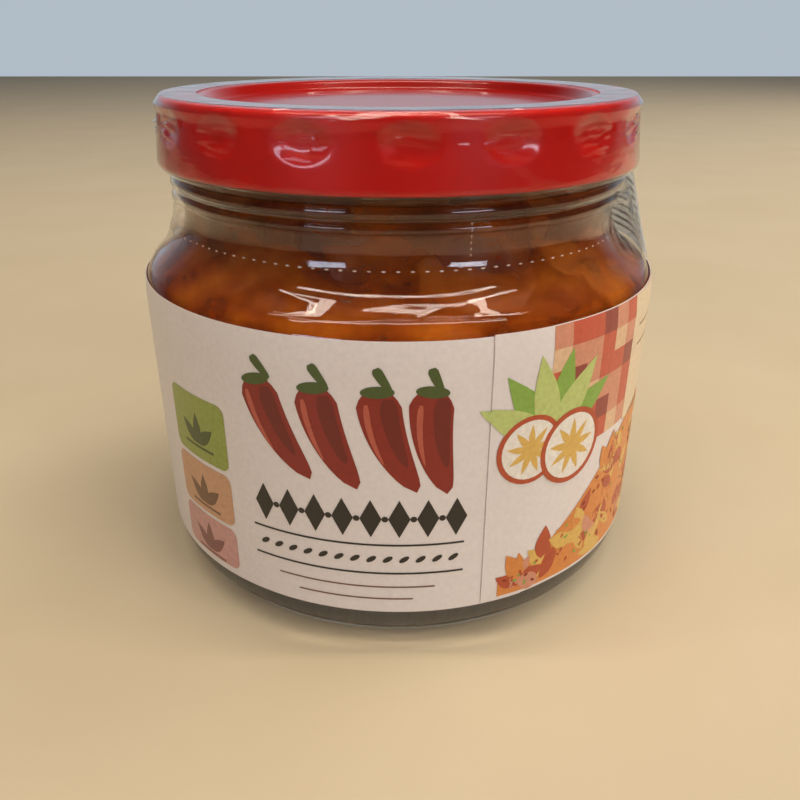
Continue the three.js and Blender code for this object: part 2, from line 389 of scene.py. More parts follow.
# Coated label paper: warm ivory with a satin gloss and faint upright streaks from being rolled on.
def coated_paper():
    material, tree, output = new_material("coated label paper")
    fibre = object_noise(tree, 0.7, detail=3.0)
    streak = object_noise(tree, 3.2, stretch=(1, 1, 30), detail=2.0)
    colour = blend_colours(tree, fibre, (0.25, "#ded3cc"), (0.75, "#e7dcd5"))
    shader = add_node(tree, "ShaderNodeBsdfPrincipled", {
        "Base Color": colour, "Roughness": 0.42, "Coat Weight": 0.25, "Coat Roughness": 0.25,
        "Normal": bump(tree, streak, 0.05)})
    tree.links.new(shader.outputs["BSDF"], output.inputs["Surface"])
    return material


# Offset ink on that paper: the paper's satin gloss, with the ink a little uneven from fibre to fibre.
def printing_ink():
    material, tree, output = new_material("offset printing ink")
    ink = add_node(tree, "ShaderNodeAttribute", attribute_name="ink").outputs["Color"]
    fibre = object_noise(tree, 0.7, detail=3.0)
    worn = blend_colours(tree, fibre, (0.2, "#e6e2de"), (0.8, "#ffffff"))
    colour = add_node(tree, "ShaderNodeMix", {"Factor": 1.0, 6: ink, 7: worn},
                      data_type="RGBA", blend_type="MULTIPLY").outputs[2]
    streak = object_noise(tree, 3.2, stretch=(1, 1, 30), detail=2.0)
    shader = add_node(tree, "ShaderNodeBsdfPrincipled", {
        "Base Color": colour, "Roughness": 0.4, "Coat Weight": 0.25, "Coat Roughness": 0.25,
        "Normal": bump(tree, streak, 0.05)})
    tree.links.new(shader.outputs["BSDF"], output.inputs["Surface"])
    return material


# Uncoated sticker paper: matt white with a fine grain, and thin enough to glow when lit from behind.
def sticker_paper():
    material, tree, output = new_material("uncoated sticker paper")
    grain = object_noise(tree, 0.5, detail=3.0)
    colour = blend_colours(tree, grain, (0.25, "#f0f0ea"), (0.75, "#f8f8f3"))
    front = add_node(tree, "ShaderNodeBsdfPrincipled", {
        "Base Color": colour, "Roughness": 0.75, "Normal": bump(tree, grain, 0.03)})
    through = add_node(tree, "ShaderNodeBsdfTranslucent", {"Color": colour})
    surface = add_node(tree, "ShaderNodeMixShader", {
        0: 0.6, 1: front.outputs["BSDF"], 2: through.outputs["BSDF"]})
    tree.links.new(surface.outputs["Shader"], output.inputs["Surface"])
    return material


# Thermal print on that paper: soft grey, a little uneven.
def grey_print():
    material, tree, output = new_material("grey thermal print")
    fade = object_noise(tree, 1.5, detail=2.0)
    colour = blend_colours(tree, fade, (0.3, "#8a8a86"), (0.7, "#a8a8a2"))
    shader = add_node(tree, "ShaderNodeBsdfPrincipled", {"Base Color": colour, "Roughness": 0.7})
    tree.links.new(shader.outputs["BSDF"], output.inputs["Surface"])
    return material


# Table top: a matt pale laminate.
def pale_laminate():
    material, tree, output = new_material("pale matt laminate")
    cloud = object_noise(tree, 40, detail=4.0)
    colour = blend_colours(tree, cloud, (0.3, "#c4b393"), (0.7, "#c8b899"))
    shader = add_node(tree, "ShaderNodeBsdfPrincipled", {"Base Color": colour, "Roughness": 0.55})
    tree.links.new(shader.outputs["BSDF"], output.inputs["Surface"])
    return material


# Shapes

def arc(centre, radius, start, stop, steps=12):
    """Points of an arc in the half plane of radius and height, angles from the outward direction."""
    angles = [math.radians(mix(start, stop, i / steps)) for i in range(steps + 1)]
    return [(centre[0] + radius * math.cos(a), centre[1] + radius * math.sin(a)) for a in angles]


def softened(corners, steps=6):
    """A profile through (radius, height, reach) corners, each bent smoothly within its reach."""
    points = [Vector(corners[0][:2])]
    for before, (r, z, reach), after in zip(corners, corners[1:], corners[2:]):
        corner = Vector((r, z))
        start = corner + (Vector(before[:2]) - corner).normalized() * reach
        stop = corner + (Vector(after[:2]) - corner).normalized() * reach
        for i in range(steps + 1):
            part = i / steps
            points.append(start.lerp(corner, part).lerp(corner.lerp(stop, part), part))
    points.append(Vector(corners[-1][:2]))
    return [tuple(p) for p in points]


def evenly(points, spacing):
    """The same line with extra points, so that no step is longer than spacing."""
    line = [points[0]]
    for (r0, z0), (r1, z1) in zip(points, points[1:]):
        count = max(1, math.ceil(math.hypot(r1 - r0, z1 - z0) / spacing))
        line += [(mix(r0, r1, i / count), mix(z0, z1, i / count)) for i in range(1, count + 1)]
    return line


def turn_profile(bm, points, steps):
    """Spin a profile all the way round the axis and give the new faces."""
    before = set(bm.faces)
    verts = [bm.verts.new(polar(0, r, z)) for r, z in points]
    edges = [bm.edges.new(pair) for pair in zip(verts, verts[1:])]
    bmesh.ops.spin(bm, geom=verts + edges, axis=(0, 0, 1), angle=2 * math.pi, steps=steps, use_merge=True)
    return [face for face in bm.faces if face not in before]


def close_mesh(bm):
    bmesh.ops.remove_doubles(bm, verts=bm.verts, dist=1e-4)
    bmesh.ops.dissolve_degenerate(bm, edges=bm.edges, dist=1e-5)
    bmesh.ops.recalc_face_normals(bm, faces=bm.faces)


def join_into(bm, part):
    """Move a small finished mesh into a larger one, which is quicker than building it there."""
    mesh = bpy.data.meshes.new("part")
    part.to_mesh(mesh)
    part.free()
    bm.from_mesh(mesh)
    bpy.data.meshes.remove(mesh)


def finish_piece(name, bm, slot, node, *materials, sharp=40):
    """Scale the mesh to metres, give it its materials and let it ride on the jar's only body."""
    bmesh.ops.scale(bm, vec=(MM, MM, MM), verts=bm.verts)
    mesh = bpy.data.meshes.new(name)
    bm.to_mesh(mesh)
    bm.free()
    mesh.shade_smooth()
    mesh.set_sharp_from_angle(angle=math.radians(sharp))
    for material in materials:
        mesh.materials.append(material)
    piece = bpy.data.objects.new(name, mesh)
    bpy.context.scene.collection.objects.link(piece)
    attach(piece, "root")
    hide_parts(node)
    return piece


# Glass

SHOULDER_CENTRE = (BODY_RADIUS - SHOULDER_ARC, SHOULDER_Z)
SLOPE_COS = math.cos(math.radians(SHOULDER_SLOPE))
SLOPE_SIN = math.sin(math.radians(SHOULDER_SLOPE))
SLOPE_RUN = BODY_RADIUS - NECK_RADIUS - (SHOULDER_ARC + NECK_ARC) * (1 - SLOPE_COS)
NECK_Z = SHOULDER_Z + (SHOULDER_ARC + NECK_ARC) * SLOPE_SIN + SLOPE_RUN * SLOPE_COS / SLOPE_SIN
NECK_CENTRE = (NECK_RADIUS + NECK_ARC, NECK_Z)


def shoulder(offset, start=0):
    """Shoulder and neck at a distance outside the glass (negative inside), from low to high."""
    return (arc(SHOULDER_CENTRE, SHOULDER_ARC + offset, start, SHOULDER_SLOPE)
            + arc(NECK_CENTRE, NECK_ARC - offset, 180 + SHOULDER_SLOPE, 180))


def bead(offset):
    """The two rounded ridges under the lid, from low to high."""
    lower = arc((NECK_RADIUS, BEAD_Z + 0.9), RIDGE_ROUND + offset, -70, 60, 8)
    upper = arc((BEAD_RADIUS - BEAD_ROUND, BEAD_TOP_Z - 0.8), BEAD_ROUND + offset, -60, 80, 10)
    return lower + upper


def jar_outside():
    underside = softened([(0, PUSH_UP, 0), (PUSH_UP_RADIUS, PUSH_UP, 1.5), (STAND_INNER, 0, 0.8),
                          (BODY_RADIUS - HEEL_RADIUS, 0, 0)])
    heel = arc((BODY_RADIUS - HEEL_RADIUS, HEEL_RADIUS), HEEL_RADIUS, -90, 0)
    finish = [(FINISH_RADIUS, FINISH_Z), (FINISH_RADIUS, RIM_Z - RIM_ROUND)]
    rim = arc((FINISH_RADIUS - RIM_ROUND, RIM_Z - RIM_ROUND), RIM_ROUND, 0, 90, 6)
    return underside + heel[1:] + shoulder(0) + bead(0) + finish + rim[1:]


def cavity(inset, top_z):
    """Inside of the glass, drawn in by an inset, from the axis at the floor up to a height."""
    inner = BODY_RADIUS - WALL - inset
    heel = arc((inner - INNER_HEEL, FLOOR_Z + inset + INNER_HEEL), INNER_HEEL, -90, 0)
    wall = [p for p in shoulder(-WALL - inset) if p[1] < top_z]
    top_radius = NECK_RADIUS - WALL - inset if top_z > NECK_Z else wall[-1][0]
    return [(0, FLOOR_Z + inset)] + heel + wall + [(top_radius, top_z)]


def make_jar():
    bm = bmesh.new()
    inside = evenly(cavity(0, BRINE_Z), 3)
    for face in turn_profile(bm, inside, JAR_STEPS):
        face.material_index = 1
    throat = [inside[-1], (inside[-1][0], RIM_Z - RIM_ROUND)]
    rim = arc((inside[-1][0] + RIM_ROUND, RIM_Z - RIM_ROUND), RIM_ROUND, 180, 90, 6)
    across = [(FINISH_RADIUS - RIM_ROUND, RIM_Z)]
    turn_profile(bm, throat + rim[1:] + across, JAR_STEPS)
    for face in turn_profile(bm, evenly(jar_outside(), 3), JAR_STEPS):
        if face.calc_center_median().z < STIPPLE_Z:
            face.material_index = 2
    close_mesh(bm)
    jar = finish_piece("jar_glass", bm, "clear_glass", "glass_jar", soda_lime_glass(), wetted_glass(),
                       stippled_glass())
    jar.visible_shadow = False


# Kimchi

def wall_line():
    """The inner face of the glass from the middle of the floor up to the brine, in short steps."""
    return evenly(cavity(0, BRINE_Z), 0.5)


WALL_LINE = wall_line()
WALL_STARTS = [0]
for (r0, z0), (r1, z1) in zip(WALL_LINE, WALL_LINE[1:]):
    WALL_STARTS.append(WALL_STARTS[-1] + math.hypot(r1 - r0, z1 - z0))


def on_wall(azimuth, along, depth):
    """A point at a distance along the wall line and a depth inside it."""
    along = min(max(along, 0.01), WALL_STARTS[-1] - 0.01)
    i = bisect.bisect_right(WALL_STARTS, along) - 1
    (r0, z0), (r1, z1) = WALL_LINE[i], WALL_LINE[i + 1]
    length = WALL_STARTS[i + 1] - WALL_STARTS[i]
    part = (along - WALL_STARTS[i]) / length
    inward = ((z0 - z1) / length, (r1 - r0) / length)
    radius = mix(r0, r1, part) + inward[0] * depth
    return polar(azimuth, radius, mix(z0, z1, part) + inward[1] * depth), mix(r0, r1, part)


def cut_slice(azimuth, along, depth, draw):
    """One slice of cabbage: a wavy plate with a ragged outline that lies along the wall."""
    width = draw.uniform(9, 17)
    height = draw.uniform(6, 11)
    thickness = draw.uniform(0.6, 1.4)
    turn = Matrix.Rotation(draw.uniform(-0.7, 0.7), 2)
    tint = draw.random()
    seed = draw.uniform(0, 500)
    wave = draw.uniform(0.1, 0.5)
    bm = bmesh.new()
    tone = bm.verts.layers.float.new("tone")
    outer = bmesh.ops.create_grid(bm, x_segments=10, y_segments=7, size=0.5)["verts"]
    grown = bmesh.ops.extrude_face_region(bm, geom=bm.faces[:], use_keep_orig=True)["geom"]
    inner = [item for item in grown if isinstance(item, bmesh.types.BMVert)]
    for vert, back in [(v, 0) for v in outer] + [(v, thickness) for v in inner]:
        a, b = vert.co.x, vert.co.y
        ragged = 1 + 0.3 * noise.noise(Vector((3 * a, 3 * b, seed)))
        flat = turn @ Vector((a * width * ragged * math.sqrt(1 - 2 * b * b),
                              b * height * ragged * math.sqrt(1 - 2 * a * a)))
        ripple = wave * (1 + noise.noise(Vector((flat.x / 4, flat.y / 4, seed))))
        point, radius = on_wall(0, along + flat.y, depth + ripple + back)
        bearing = azimuth + math.degrees(flat.x / max(radius, 12))
        vert.co = polar(bearing, math.hypot(point.x, point.y), point.z)
        vert[tone] = tint
    bmesh.ops.recalc_face_normals(bm, faces=bm.faces)
    return bm


def make_slices():
    draw = random.Random(7)
    bm = bmesh.new()
    top = WALL_STARTS[-1]
    for depth, count in SLICE_LAYERS:
        for _ in range(count):
            azimuth = draw.uniform(-180, 180)
            along = draw.uniform(SLICES_FROM, top - 1)
            join_into(bm, cut_slice(azimuth, along, depth, draw))
    finish_piece("cabbage_slices", bm, "kimchi_food", "kimchi", pickled_cabbage(), sharp=80)


def make_core():
    bm = bmesh.new()
    profile = cavity(CORE_INSET, CORE_TOP_Z) + [(0, CORE_TOP_Z)]
    turn_profile(bm, evenly(profile, 1.2), 144)
    close_mesh(bm)
    for vert in bm.verts:
        vert.co *= 1 + CORE_LUMPS * noise.noise(vert.co / 6)
    finish_piece("kimchi_core", bm, "kimchi_food", "kimchi", seasoning_paste())


def make_flakes():
    draw = random.Random(11)
    bm = bmesh.new()
    for _ in range(FLAKES):
        azimuth = draw.uniform(-180, 180)
        along = draw.uniform(FLAKES_FROM, WALL_STARTS[-1])
        place, _ = on_wall(azimuth, along, draw.uniform(0.25, 1.6))
        turn = Matrix.Rotation(draw.uniform(0, 6.3), 4, Vector([draw.gauss(0, 1) for _ in range(3)]))
        size = Matrix.Diagonal((draw.uniform(0.3, 0.9), draw.uniform(0.3, 0.7), 0.12, 1))
        frame_matrix = Matrix.Translation(place) @ turn @ size
        bmesh.ops.create_icosphere(bm, subdivisions=1, radius=1, matrix=frame_matrix)
    finish_piece("chilli_flakes", bm, "kimchi_food", "kimchi", chilli_flake())


def make_brine():
    bm = bmesh.new()
    side = evenly(cavity(-BRINE_INTO_WALL, BRINE_Z), 3)
    turn_profile(bm, side, JAR_STEPS)
    edge = side[-1][0]
    top = [(edge, BRINE_Z), (edge - 0.6, BRINE_Z - 0.7 * BRINE_DIP), (edge - 1.6, BRINE_Z - BRINE_DIP),
           (0, BRINE_Z - BRINE_DIP)]
    for face in turn_profile(bm, top, JAR_STEPS):
        face.material_index = 1
    close_mesh(bm)
    brine = finish_piece("brine", bm, "kimchi_food", "kimchi", chilli_brine(), brine_top())
    brine.visible_shadow = False


# Lid

def skirt_radius(z):
    return mix(LID_TOP_RADIUS, LID_BOTTOM_RADIUS, (LID_TOP_Z - LID_CORNER - z)
               / (LID_TOP_Z - LID_CORNER - LID_BOTTOM_Z))


def dimple_depth(azimuth, z):
    """How far the skirt is pressed in: one smooth oval hollow for each dimple."""
    pitch = 360 / DIMPLES
    off = (azimuth - DIMPLE_AZIMUTH + pitch / 2) % pitch - pitch / 2
    across = math.radians(off) * LID_TOP_RADIUS
    reach = math.hypot(across / (DIMPLE_WIDTH / 2), (z - DIMPLE_Z) / (DIMPLE_HEIGHT / 2))
    return DIMPLE_DEPTH * (1 - ramp(0.3, 1.0, reach))


def lid_profile():
    panel_z = LID_TOP_Z - PANEL_DROP
    panel = softened([(0, panel_z, 0), (PANEL_RADIUS - 0.9, panel_z, 0.5),
                      (PANEL_RADIUS - 0.1, LID_TOP_Z, 0.5), (LID_TOP_RADIUS - LID_CORNER, LID_TOP_Z, 0)])
    corner = arc((LID_TOP_RADIUS - LID_CORNER, LID_TOP_Z - LID_CORNER), LID_CORNER, 90, 0, 8)
    curl_z = LID_BOTTOM_Z + LID_CURL
    skirt = [(LID_TOP_RADIUS, LID_TOP_Z - LID_CORNER), (skirt_radius(curl_z), curl_z)]
    curl = arc((skirt_radius(curl_z) - LID_CURL, curl_z), LID_CURL, 0, -180, 10)
    inside = [(LID_TOP_RADIUS - LID_SHEET - 0.2, LID_TOP_Z - LID_CORNER - 0.4),
              (LID_TOP_RADIUS - LID_CORNER - 0.5, LID_TOP_Z - LID_SHEET),
              (PANEL_RADIUS + LID_SHEET, LID_TOP_Z - LID_SHEET),
              (PANEL_RADIUS - 0.5, panel_z - LID_SHEET), (0, panel_z - LID_SHEET)]
    return panel + corner[1:] + evenly(skirt, 0.3)[1:] + curl[1:] + inside


def make_lid():
    bm = bmesh.new()
    turn_profile(bm, lid_profile(), LID_STEPS)
    close_mesh(bm)
    for vert in bm.verts:
        radius = math.hypot(vert.co.x, vert.co.y)
        if radius > LID_TOP_RADIUS - LID_SHEET and vert.co.z < LID_TOP_Z - 0.3:
            depth = dimple_depth(azimuth_of(vert.co), vert.co.z)
            vert.co = polar(azimuth_of(vert.co), radius - depth, vert.co.z)
    finish_piece("lid_shell", bm, "red_enamel", "lid", red_lacquer())


# Shrink film

def film_profile():
    """The film where it clings all the way: shoulder, neck, bead, lid skirt and a lip on the lid's top."""
    lid_edge = softened([(BEAD_RADIUS + FILM_GAP, FINISH_Z - 0.8, 0),
                         (LID_BOTTOM_RADIUS + FILM_GAP, LID_BOTTOM_Z - 0.1, 0.9),
                         (LID_TOP_RADIUS + FILM_GAP, LID_TOP_Z + FILM_GAP - 2.2 * FILM_CORNER, 0)])
    outside, above = LID_TOP_RADIUS + FILM_GAP, LID_TOP_Z + FILM_GAP
    low = (outside + FILM_BULGE, above - FILM_CORNER, FILM_BEND)
    high = (outside + FILM_BULGE - FILM_EDGE_RUN, above + FILM_EDGE_RISE, FILM_BEND)
    over = softened([(outside, above - 2 * FILM_CORNER, 0), low, high, (high[0] - FILM_LIP, above, 0)])
    neck = shoulder(FILM_GAP, FILM_LOW_ANGLE) + bead(FILM_GAP)
    return evenly(neck, FILM_SPACING) + evenly(lid_edge + over, FILM_FINE_SPACING)


def film_slack(azimuth):
    """How much of the neck's hollow the film bridges: little in front, more at the left and the seal."""
    front = 0.1 * (0.5 + 0.5 * noise.noise(Vector((azimuth / 14, 3.3, 0))))
    left = 0.4 * ramp(-50, -70, azimuth) * ramp(-150, -115, azimuth)
    right = ramp(62, 74, azimuth) * ramp(138, 126, azimuth)
    return min(front + left + right, 1)


def film_bridge(z):
    """Radius of a straight pull from the bead to the shoulder."""
    low_r, low_z = shoulder(FILM_GAP, FILM_LOW_ANGLE)[0]
    part = (z - low_z) / (BEAD_TOP_Z - low_z)
    return mix(low_r, BEAD_RADIUS + FILM_GAP, min(max(part, 0), 1))


def film_wrinkle(azimuth, z):
    """Outward wrinkles: long and level on the neck, short and steep on the lid's skirt."""
    on_lid = ramp(LID_BOTTOM_Z - 1, LID_BOTTOM_Z + 1, z)
    level = noise.noise(Vector((azimuth / 22, z / 1.8, 1.7)))
    steep = noise.noise(Vector((azimuth / 6, z / 4, 8.1)))
    hollow = dimple_depth(azimuth, z) * on_lid
    pleat = abs(noise.noise(Vector(((azimuth + 8 * z) / 6, (z - azimuth / 20) / 0.8, 2.9))))
    pull = FILM_PULL * noise.noise(Vector((azimuth / 15, 0.6, 6.2)))
    on_edge = ramp(LID_TOP_Z - 1.6, LID_TOP_Z - 0.6, z)
    wrinkle = max(0, FILM_WRINKLE * mix(level, steep, on_lid))
    return mix(wrinkle, pull, on_edge) + hollow * (FILM_PLEAT * pleat - FILM_CLING)


def make_film():
    bm = bmesh.new()
    turn_profile(bm, film_profile(), FILM_STEPS)
    bmesh.ops.remove_doubles(bm, verts=bm.verts, dist=1e-4)
    bmesh.ops.recalc_face_normals(bm, faces=bm.faces)
    low_z = min(vert.co.z for vert in bm.verts)
    for vert in bm.verts:
        azimuth = azimuth_of(vert.co)
        radius = math.hypot(vert.co.x, vert.co.y)
        z = vert.co.z
        top = ramp(LID_TOP_Z + 0.1, LID_TOP_Z - 1.2, z)
        if z < BEAD_TOP_Z:
            radius = max(radius, mix(radius, film_bridge(z), film_slack(azimuth)))
        radius += film_wrinkle(azimuth, z) * top
        edge = 0.7 * noise.noise(Vector((azimuth / 16, 5.5, 0))) * ramp(low_z + 2.5, low_z, z)
        vert.co = polar(azimuth, radius - 0.6 * edge, z + 0.8 * edge)
    bmesh.ops.solidify(bm, geom=bm.faces, thickness=FILM_SHEET)
    film = finish_piece("shrink_film", bm, "clear_film", "shrink_band", shrink_film(), sharp=70)
    film.visible_shadow = False


def perforation(bm, place, outward, length, across):
    """One small lozenge at a perforation, flat on the surface; its pale colour is a painted glint."""
    side = across.cross(outward)
    frame_matrix = Matrix((across, side, outward)).transposed().to_4x4()
    size = Matrix.Diagonal((length, 0.09, 0.03, 1))
    placed = Matrix.Translation(place) @ frame_matrix @ size
    bmesh.ops.create_icosphere(bm, subdivisions=1, radius=1, matrix=placed)


def film_radius(azimuth, z):
    """Outer face of the film on the neck."""
    line = shoulder(FILM_GAP, FILM_LOW_ANGLE) + [(NECK_RADIUS + FILM_GAP, RIM_Z)]
    clings = next(radius for radius, height in line if height >= z)
    return mix(clings, max(clings, film_bridge(z)), film_slack(azimuth)) + max(0, film_wrinkle(azimuth, z))


def make_perforations():
    bm = bmesh.new()
    for azimuth in range(-180, 180, PERFORATION_TURN):
        place = polar(azimuth, film_radius(azimuth, PERFORATION_Z) + PERFORATION_LIFT, PERFORATION_Z)
        outward = polar(azimuth, 1, 0.6).normalized()
        perforation(bm, place, outward, 0.3, polar(azimuth + 90, 1, 0))
    for step in range(PERFORATION_ROWS):
        z = PERFORATION_Z + 0.9 + PERFORATION_PITCH * step
        place = polar(PERFORATION_AZIMUTH, film_radius(PERFORATION_AZIMUTH, z) + PERFORATION_LIFT, z)
        outward = polar(PERFORATION_AZIMUTH, 1, 0)
        perforation(bm, place, outward, 0.14, Vector((0, 0, 1)))
    finish_piece("film_perforations", bm, "clear_film", "shrink_band", whitened_film())


# Label

def label_radius(u):
    """Outer face of the strip at a distance round the jar: it steps up where it lies over its own end."""
    past_edge = (u - LABEL_EDGE) % LABEL_ROUND
    return LABEL_RADIUS + LABEL_STEP * (1 - ramp(LABEL_OVERLAP, LABEL_OVERLAP + 5, past_edge))


def on_label(u, v, radius):
    """A point of the label: u along the strip from the front, v above the table."""
    lean = 0.25 * ramp(SHOULDER_Z - 1, LABEL_TOP_Z, v)
    rise = LABEL_SKEW * (1 - ((u - LABEL_EDGE) % LABEL_ROUND) / LABEL_ROUND)
    return polar(math.degrees(u / LABEL_RADIUS), radius - lean, v + rise)


def make_label():
    bm = bmesh.new()
    length = LABEL_ROUND + LABEL_OVERLAP
    columns = round(length / LABEL_COLUMN)
    grid = bmesh.ops.create_grid(bm, x_segments=columns, y_segments=LABEL_ROWS, size=0.5)
    for vert in grid["verts"]:
        along = (vert.co.x + 0.5) * length
        v = mix(LABEL_BOTTOM_Z, LABEL_TOP_Z, vert.co.y + 0.5)
        under = along > LABEL_ROUND - 1e-4
        u = LABEL_EDGE + along
        radius = LABEL_RADIUS if under else label_radius(u)
        skew = LABEL_SKEW if under else 0
        vert.co = on_label(u, v - skew, radius)
    bmesh.ops.recalc_face_normals(bm, faces=bm.faces)
    bmesh.ops.solidify(bm, geom=bm.faces, thickness=LABEL_SHEET)
    finish_piece("label_paper", bm, "label_paper", "label", coated_paper())


# Print on the label, as flat outlines in (u, v)

INKS = {
    "black": "#221d18", "chilli": "#8f1f10", "pod_shade": "#741408", "pod_light": "#c05a44",
    "stem": "#4a5a24", "badge_green": "#9aa648", "badge_peach": "#d6a27a", "badge_pink": "#d69f96",
    "dark_green": "#48551f", "brown": "#7d553a", "rose": "#8d5450",
    "maroon": "#9a4238", "red": "#cc5a40", "salmon": "#d99274", "peach": "#e6bd94", "cream": "#ead2ae",
    "orange": "#e08a3e", "gold": "#e3b75c", "rust": "#bb4c27", "leaf": "#8bb048", "light_leaf": "#c3cf7a",
    "white": "#f4ecdf",
}


def ellipse(u, v, wide, high, turn=0, count=20):
    angles = [2 * math.pi * i / count for i in range(count)]
    spin = Matrix.Rotation(math.radians(turn), 2)
    return [Vector((u, v)) + spin @ Vector((wide * math.cos(a), high * math.sin(a))) for a in angles]


def rectangle(u0, v0, u1, v1, corner=0.0):
    """A rectangle with round corners."""
    if corner == 0:
        return [Vector(p) for p in ((u0, v0), (u1, v0), (u1, v1), (u0, v1))]
    outline = []
    for (u, v), start in (((u1 - corner, v0 + corner), -90), ((u1 - corner, v1 - corner), 0),
                          ((u0 + corner, v1 - corner), 90), ((u0 + corner, v0 + corner), 180)):
        outline += [Vector(p) for p in arc((u, v), corner, start, start + 90, 5)]
    return outline


def leaf(u, v, length, width, turn, count=9):
    """A pointed leaf that grows from (u, v) in the direction of turn."""
    spin = Matrix.Rotation(math.radians(turn), 2)
    steps = [i / count for i in range(count + 1)]
    right = [Vector((width / 2 * math.sin(math.pi * t ** 0.8), length * t)) for t in steps]
    left = [Vector((-p.x, p.y)) for p in reversed(right[1:-1])]
    return [Vector((u, v)) + spin @ p for p in right + left]


def chilli_pod(u, v, length, width, turn, bend, count=14):
    """A curved pod that tapers from its blunt stem end at (u, v) to a point."""
    spin = Matrix.Rotation(math.radians(turn), 2)
    steps = [i / count for i in range(count + 1)]

    def side(t, sign):
        middle = Vector((bend * t * t, -length * t))
        half = width / 2 * math.sqrt(max(0, 1 - t ** 2.2)) * min(1, 0.55 + 4 * t)
        return Vector((u, v)) + spin @ (middle + Vector((sign * half, 0)))
    return [side(t, 1) for t in steps] + [side(t, -1) for t in reversed(steps[:-1])]


def print_badges(prints):
    """Three rounded fields at the left, each with a sprig of three leaves over a line."""
    for ink, mark, low, high in (("badge_green", "dark_green", 24.6, 34.6),
                                 ("badge_peach", "brown", 15.6, 23.9),
                                 ("badge_pink", "rose", 8.0, 15.0)):
        prints.append((ink, 1, rectangle(-37.6, low, -24.6, high, 1.4)))
        middle = (low + high) / 2
        for turn in (-50, 0, 50):
            prints.append((mark, 2, leaf(-31.1, middle - 2.6, 4.8, 1.9, turn)))
        prints.append((mark, 2, rectangle(-34.6, middle - 3.3, -27.6, middle - 2.9)))


def print_middle(prints):
    """A row of chilli pods over bands of lozenges, dots and thin lines."""
    for u, turn, bend in ((-18.5, 12, 4.2), (-10.5, 6, 3.8), (-2.5, 2, 4.4), (4.2, -6, 3.6)):
        prints.append(("chilli", 1, chilli_pod(u, 40.3, 14.2, 5.6, turn, bend)))
        prints.append(("pod_shade", 2, chilli_pod(u + 1.3, 39.4, 9.6, 2.2, turn, bend * 0.46)))
        prints.append(("pod_light", 3, chilli_pod(u - 1.4, 38.6, 8.4, 0.8, turn - 2, bend * 0.5)))
        prints.append(("stem", 3, chilli_pod(u - 0.2, 43.4, 3.6, 1.3, turn + 24, 0.4)))
        prints.append(("stem", 3, ellipse(u, 40.3, 2.1, 0.8, turn)))
    for i in range(8):
        u = -18.6 + 3.75 * i
        prints.append(("black", 1, ellipse(u, 22.2, 1.45, 2.9, 0, 4)))
        if i < 7:
            prints.append(("black", 1, ellipse(u + 1.87, 22.2, 0.45, 0.45, 0, 10)))
    for v in (18.1, 13.5):
        prints.append(("black", 1, rectangle(-20.7, v - 0.15, 8.8, v + 0.15)))
    for i in range(13):
        prints.append(("black", 1, ellipse(-19 + 2.2 * i, 15.8, 0.8, 0.38, 35, 10)))
    for v, half in ((11.2, 11), (9.2, 8)):
        prints.append(("brown", 1, rectangle(-6 - half, v - 0.12, -6 + half, v + 0.12)))


def print_checks(prints):
    """A gingham of small squares beside a plain cream field."""
    shades = ("peach", "salmon", "red", "maroon")
    side = 3.1
    for column in range(9):
        for row in range(6):
            shade = shades[(column % 2) + (row % 2) + (column // 2 + row // 2) % 2]
            u, v = 20 + side * column, 28 + side * row
            prints.append((shade, 1, rectangle(u, v, u + side, v + side)))
    prints.append(("cream", 2, rectangle(38.5, 27.5, 54, 46.6)))
    prints.append(("brown", 3, rectangle(41, 41.5, 51.5, 41.8)))
    prints.append(("brown", 3, rectangle(41, 38.5, 51.5, 38.8)))


def print_radishes(prints):
    """Two slices of radish with rays, in front of a fan of green tops."""
    for step, turn in enumerate(range(-60, 61, 24)):
        ink = ("leaf", "light_leaf")[step % 2]
        prints.append((ink, 4 + step % 2, leaf(20.8, 31, 12.5, 4.2, turn)))
    for layer, u, v, radius in ((6, 17.6, 30.2, 5.0), (9, 24.8, 28.8, 5.6)):
        prints.append(("rust", layer, ellipse(u, v, radius, radius, 0, 32)))
        prints.append(("white", layer + 1, ellipse(u, v, 0.86 * radius, 0.86 * radius, 0, 32)))
        for turn in range(0, 360, 40):
            prints.append(("gold", layer + 2, leaf(u, v, 0.74 * radius, 0.2 * radius, turn)))


def food_height(u):
    return mix(10.5, 29, ramp(13, 46, u))


def print_food(prints):
    """A mound of seasoned leaves along the lower edge."""
    draw = random.Random(5)
    low = LABEL_BOTTOM_Z + 0.5
    edge = [Vector((u, food_height(u))) for u in range(54, 12, -2)]
    prints.append(("orange", 2, [Vector((14, low)), Vector((54, low))] + edge))
    for i in range(70):
        u = draw.uniform(16, 52)
        v = draw.uniform(low + 1.6, food_height(u) - 0.6)
        ink = draw.choice(("gold", "rust", "orange", "gold", "salmon", "rust"))
        length = draw.uniform(3, 6)
        width = draw.uniform(1.6, 3)
        prints.append((ink, 3 + i % 3, leaf(u, v - 1, length, width, draw.uniform(-90, 90))))
    for i in range(60):
        u = draw.uniform(15, 52)
        v = draw.uniform(low + 0.8, food_height(u) - 0.6)
        ink = draw.choice(("chilli", "rust", "leaf"))
        prints.append((ink, 7, ellipse(u, v, draw.uniform(0.2, 0.5), 0.22, draw.uniform(0, 180), 8)))


def print_back(prints):
    """A framed plain panel at the back."""
    for half, ink, layer in ((26, "brown", 1), (25.6, "white", 2)):
        prints.append((ink, layer, rectangle(-95 - half, 27 - half * 0.6, -95 + half, 27 + half * 0.6)))
    for i in range(6):
        prints.append(("brown", 3, rectangle(-117, 38 - 4.4 * i, -73, 38.25 - 4.4 * i)))


def between(low, high, start, step):
    """Places at even steps from start that lie between low and high."""
    first = math.ceil((low - start) / step)
    return [start + step * i for i in range(first, math.floor((high - start) / step) + 1)]


